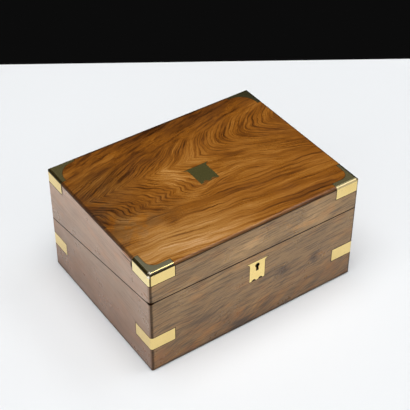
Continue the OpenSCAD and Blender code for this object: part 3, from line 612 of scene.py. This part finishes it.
def age_brass(g, colour):
    """The outer brass's colour with its tarnish, painted shade and highlights on its roundings and a
    painted glint, and how metallic it is.
    """
    at = Point(g)
    x, y, z = at.x, at.y, at.z
    on_left = g.span(x, 0.05, -0.05)
    # The straps are a little darker, and the escutcheon lighter; the front left cap's left face is
    # lighter too, a painted reflection
    colour = g.mix(g.span(z, 0.07, 0.055, 0.0, 0.10), colour, BRASS_STRAP)
    escutcheon = g.mul(g.spot(x, z, (0.0, PART_FRONT - 28 * MM), (0.025, 0.03)), at.in_front)
    colour = g.tint(escutcheon, colour, (1.10, 1.13, 1.16))
    # Painted reflection: the front left cap's left face made paler
    near = g.mul(g.spot(y, z, (CAP_LEG / 2 - HALF_D, CAP_LO.z), (0.04, 0.03)), 1.6)
    near = g.least(g.mul(near, g.span(x, -HALF_W + 2 * MM, -HALF_W + 1 * MM)), 1.0)
    colour = g.tint(near, colour, (1.18, 1.25, 1.55))

    # What faces up is dull: darkest on the back right cap, paler on the front ones
    # On the right caps the dull colour reaches down their top rounding: partly tarnish, partly painted
    # shade that dims the rim lamp's line
    up = g.span(at.up, g.blend(on_left, 0.78, 0.925), g.blend(on_left, 0.86, 0.955))
    colour = g.mix(g.mul(up, 0.85), colour, BRASS_DULL)
    back_right = g.mul(up, g.spot(x, y, (HALF_W, HALF_D), (0.06, 0.06)))
    colour = g.mix(g.mul(back_right, 0.75), colour, BRASS_DULL_DARK)
    front_caps = g.mul(up, g.span(y, -0.05, -0.09), g.blend(on_left, 0.3, 1.0))
    colour = g.mix(g.mul(front_caps, 0.7), colour, BRASS_DULL_PALE)
    cartouche = g.mul(up, g.spot(x, y, (0.0, 0.0), (0.04, 0.04)))
    colour = g.mix(g.mul(cartouche, 0.5), colour, BRASS_DULL_GREEN)

    # Painted shade: the rounding under a flange is painted dark, on the left caps all along, up to the
    # bright line that the rim lamp draws above it, and on the right caps only on their side faces
    right_rounding_shade = g.mul(g.fade(at.depth, 4.0 * MM, 4.6 * MM), g.span(at.turn, 0.1, -0.1))
    flange_rounding_shade = g.blend(on_left, right_rounding_shade, g.fade(at.up, 0.850, 0.875))
    flange_rounding_shade = g.mul(g.span(at.up, 0.12, 0.30), flange_rounding_shade)
    colour = g.mix(flange_rounding_shade, colour, g.mix(on_left, ROUNDING_RIGHT_SHADE, ROUNDING_LEFT_SHADE))
    metal = g.blend(g.mul(flange_rounding_shade, on_left), g.span(up, 0.0, 1.0, 1.0, 0.72), 0.4)
    # On their front faces the rounding is painted pale instead, a painted highlight
    pale = g.mul(g.span(at.up, 0.10, 0.35), g.span(at.up, 0.90, 0.82))
    pale = g.mul(pale, g.span(at.turn, -0.1, 0.1), g.sub(1.0, on_left))
    colour = g.mix(pale, colour, BRASS_PALE_SHEEN)
    metal = g.blend(pale, metal, 0.25)
    # Painted shade: black on the caps' upright roundings, towards the front and back
    beside = g.mul(g.span(at.turn, -0.05, 0.20), g.fade(at.turn, 0.78, 0.93))
    cap_upright_shade = g.mul(beside, g.span(at.corner, 4.4 * MM, 3.6 * MM), g.span(z, CAP_LO.z - 2 * MM, CAP_LO.z))
    colour = g.mix(g.mul(cap_upright_shade, 0.9), colour, UPRIGHT_ROUNDING_SHADE)
    # A painted glint: the front left cap's very corner is painted pale, above and below its rounding
    above = g.mul(g.spot(at.corner, z, (3.9 * MM, TOP_Z), (0.9 * MM, 0.8 * MM)), 0.55)
    below = g.spot(at.corner, z, (1.2 * MM, TOP_Z - 4.4 * MM), (1.7 * MM, 1.5 * MM))
    below = g.mul(below, g.span(at.turn, 0.35, 0.05))
    glint = g.mul(g.most(above, below), on_left, g.span(y, 0.05, -0.05))
    glint = g.least(g.mul(glint, 1.4), 1.0)
    colour = g.mix(glint, colour, BRASS_PAINTED_GLINT)
    return colour, g.blend(glint, metal, 0.1)


def make_brass(name, tint, rough_low, rough_high, aged):
    """Brass with fine scratches and finger marks. The outer pieces also show their age, and painted
    shade, highlights and a glint.
    """
    g = Graph(name)
    place = g.place()
    x, y, z = g.split(place)
    marks = g.noise(place, 60.0, 4.0, 0.6)
    cloud = g.noise(place, 18.0, 3.0, 0.5)
    scratch = g.noise(g.join(g.mul(x, 900.0), g.mul(y, 900.0), g.mul(z, 60.0)), 1.0, 2.0, 0.6)
    warm = tuple(c * k for c, k in zip(tint, (0.92, 0.86, 0.74)))
    colour = g.mix(g.span(cloud, 0.42, 0.72, 0.0, 0.6), tint, warm)
    speck = g.noise(place, 260.0, 2.0, 0.5)
    colour = g.mix(g.span(speck, 0.66, 0.78, 0.0, 0.4), colour, BRASS_SPECK)
    metal = 1.0
    if aged:
        colour, metal = age_brass(g, colour)
    g.set("Base Color", colour)
    g.set("Metallic", metal)
    wear = g.add(g.mul(marks, 0.8), g.mul(scratch, 0.2))
    g.set("Roughness", g.span(wear, 0.3, 0.7, rough_low, rough_high))
    g.bump(g.add(scratch, g.mul(marks, 0.5)), 0.015, 0.05 * MM)
    return g.material


def make_steel():
    """Filed steel, with its lines along X."""
    g = Graph("filed_steel")
    x, y, z = g.split(g.place())
    grain = g.noise(g.join(g.mul(x, 80.0), g.mul(y, 1200.0), g.mul(z, 1200.0)), 1.0, 3.0, 0.6)
    g.set("Base Color", g.ramp(grain, [(0.2, (0.28, 0.27, 0.25)), (0.8, (0.55, 0.53, 0.5))]))
    g.set("Metallic", 1.0)
    g.set("Roughness", g.span(grain, 0.2, 0.8, 0.28, 0.45))
    return g.material


def make_leather(node):
    """Dark red skiver with a fine grain, and worn gilt lines and a wavy roll tooled round its border."""
    g = Graph("leather_of_" + node)
    low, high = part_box(node)
    place = g.place()
    x, y, _ = g.split(place)
    pebble = g.node("ShaderNodeTexVoronoi", feature="DISTANCE_TO_EDGE")
    g.feed(pebble.inputs["Vector"], place)
    pebble.inputs["Scale"].default_value = 1100.0
    cloud = g.noise(place, 22.0, 4.0, 0.6)
    colour = g.ramp(g.even(cloud, 0.25, 0.75), [
        (0.0, (0.085, 0.014, 0.012)), (0.5, (0.155, 0.024, 0.02)), (1.0, (0.235, 0.05, 0.036))])
    # The tooling follows the nearest edge
    from_side = g.sub(high.x, g.absolute(x))
    from_end = g.least(g.sub(high.y, y), g.sub(y, low.y))
    inset = g.least(from_side, from_end)
    run = g.blend(g.math("LESS_THAN", from_side, from_end), x, y)
    roll = g.mul(g.sine(g.angle(run, 4.8 * MM)), 0.8 * MM)
    gilt = 0.0
    for middle, half in (
        (4.4 * MM, 0.35 * MM),
        (6.2 * MM, 0.15 * MM),
        (g.add(roll, 8.6 * MM), 0.30 * MM),
        (11.0 * MM, 0.15 * MM),
    ):
        off = g.absolute(g.sub(inset, middle))
        gilt = g.most(gilt, g.fade(off, half, half + 0.15 * MM))
    gilt = g.mul(gilt, g.span(g.noise(place, 160.0, 4.0, 0.65), 0.40, 0.56))
    g.set("Base Color", g.mix(gilt, colour, (0.78, 0.54, 0.20)))
    g.set("Metallic", g.mul(gilt, 0.95))
    g.set("Roughness", g.blend(gilt, g.span(cloud, 0.3, 0.7, 0.42, 0.58), 0.35))
    g.bump(g.even(pebble.outputs["Distance"], 0.0, 0.35), 0.35, 0.1 * MM)
    return g.material


def make_baize():
    g = Graph("green_baize")
    place = g.place()
    fuzz = g.noise(place, 900.0, 3.0, 0.7)
    cloud = g.noise(place, 25.0, 3.0, 0.5)
    tone = g.add(g.mul(fuzz, 0.6), g.mul(cloud, 0.4))
    g.set("Base Color", g.ramp(tone, [(0.25, (0.012, 0.045, 0.022)), (0.75, (0.035, 0.11, 0.055))]))
    g.set("Roughness", g.span(fuzz, 0.2, 0.8, 0.85, 1.0))
    g.set("Sheen Weight", 0.5)
    g.bump(fuzz, 0.6, 0.4 * MM)
    return g.material


def make_glass():
    g = Graph("old_glass")
    swell = g.noise(g.place(), 60.0, 2.0, 0.5)
    g.set("Base Color", g.mix(g.span(swell, 0.3, 0.7), (0.86, 0.93, 0.9), (0.93, 0.97, 0.95)))
    g.set("Roughness", g.span(swell, 0.3, 0.7, 0.02, 0.06))
    g.set("IOR", 1.5)
    g.set("Transmission Weight", 1.0)
    g.bump(swell, 0.15, 0.3 * MM)
    return g.material


MATERIALS = {
    "walnut": make_walnut(),
    "inner_wood": make_inner_wood(),
    "brass_mounts": make_brass("rubbed_brass", (0.88, 0.67, 0.27), 0.16, 0.21, aged=True),
    "brass_fittings": make_brass("inner_brass", (0.82, 0.6, 0.25), 0.28, 0.42, aged=False),
    "steel": make_steel(),
    "baize": make_baize(),
    "glass": make_glass(),
}
SLOT_OF = {row["node"]: row["material_slot"] for row in frame["record"]["subparts"]}
LEATHERS = {name: make_leather(name) for name, slot in SLOT_OF.items() if slot == "leather"}


def dress_nodes():
    """Each CAD node gets its finish."""
    for name, node in NODES.items():
        node.data.materials.clear()
        node.data.materials.append(LEATHERS.get(name) or MATERIALS[SLOT_OF[name]])
        for face in node.data.polygons:
            face.material_index = 0


def add_camera():
    """The photograph's viewpoint, from a camera fitted to the box's edges."""
    place = (-0.625486, -0.908199, 1.037093)
    forward = Vector((0.435356, 0.628103, -0.644943)).normalized()
    right = Vector((0.822876, -0.568218, 0.002086))
    right = (right - forward * right.dot(forward)).normalized()
    up = right.cross(forward)
    data = bpy.data.cameras.new("camera")
    data.sensor_width = 36.0
    data.lens = 101.044
    camera = bpy.data.objects.new("camera", data)
    bpy.context.scene.collection.objects.link(camera)
    turn = Matrix((right, up, -forward)).transposed().to_4x4()
    camera.matrix_world = Matrix.Translation(place) @ turn
    bpy.context.scene.camera = camera


def add_table():
    """A pale table that ends behind the box."""
    far_edge = 0.490
    depth = 3.0
    half_width = 3.0
    away = Vector((0.5440, 0.8391, 0)).normalized()
    across = Vector((away.y, -away.x, 0)) * half_width
    edge = away * far_edge
    near = edge - away * depth
    mesh = bpy.data.meshes.new("table")
    corners = [edge + across, edge - across, near - across, near + across]
    mesh.from_pydata([tuple(c) for c in corners], [], [(0, 1, 2, 3)])
    table = bpy.data.objects.new("table", mesh)
    bpy.context.scene.collection.objects.link(table)
    g = Graph("pale_table")
    cloud = g.noise(g.place(), 1.5, 2.0, 0.5)
    g.set("Base Color", g.mix(cloud, (0.780, 0.800, 0.820), (0.800, 0.815, 0.830)))
    g.set("Roughness", 0.7)
    g.set("Specular IOR Level", 0.0)
    table.data.materials.append(g.material)


def add_room():
    """A dark room round the table."""
    world = bpy.data.worlds.new("room")
    bpy.context.scene.world = world
    world.use_nodes = True
    world.node_tree.nodes["Background"].inputs[0].default_value = (0.0037, 0.0037, 0.0037, 1)


def add_lamp(name, aim, far, size, level):
    """A soft box, far metres away in the direction aim. level is its brightness, whatever its size."""
    middle_of_box = Vector((0, 0, 0.1))
    data = bpy.data.lights.new(name, "AREA")
    data.shape = "RECTANGLE"
    data.size, data.size_y = size
    data.energy = level * math.pi * size[0] * size[1]
    lamp = bpy.data.objects.new(name, data)
    bpy.context.scene.collection.objects.link(lamp)
    place = Vector(aim).normalized() * far
    lamp.location = place + middle_of_box
    lamp.rotation_euler = (-place).to_track_quat("-Z", "Y").to_euler()
    lamp.visible_camera = False
    return lamp


def add_lamps():
    """Two soft boxes show in the brass and the polish, and three others light the rest."""
    from_left = (-0.84, -0.46, 0.78)
    from_right = (0.50, -0.58, 0.92)
    far = 8.0
    for name, aim, side, level in (
        ("key_left", from_left, 5.85, 5.2),
        ("fill_right", from_right, 4.8, 3.1),
    ):
        add_lamp(name, aim, far, (side, side), level).visible_diffuse = False
    for name, aim, side, level in (
        ("soft_left", from_left, 9.0, 1.85),
        ("soft_right", from_right, 8.0, 1.10),
        ("above", (-0.12, -0.05, 1.0), 6.0, 4.8),
    ):
        add_lamp(name, aim, far, (side, side), level).visible_glossy = False
    # A near one draws the bright line on the caps' front edges
    add_lamp("rim", (0.435, -0.10, 0.893), 1.9, (1.3, 0.42), 2.9)


dress_nodes()
add_camera()
add_table()
add_room()
add_lamps()
bpy.context.scene.view_settings.view_transform = "Standard"
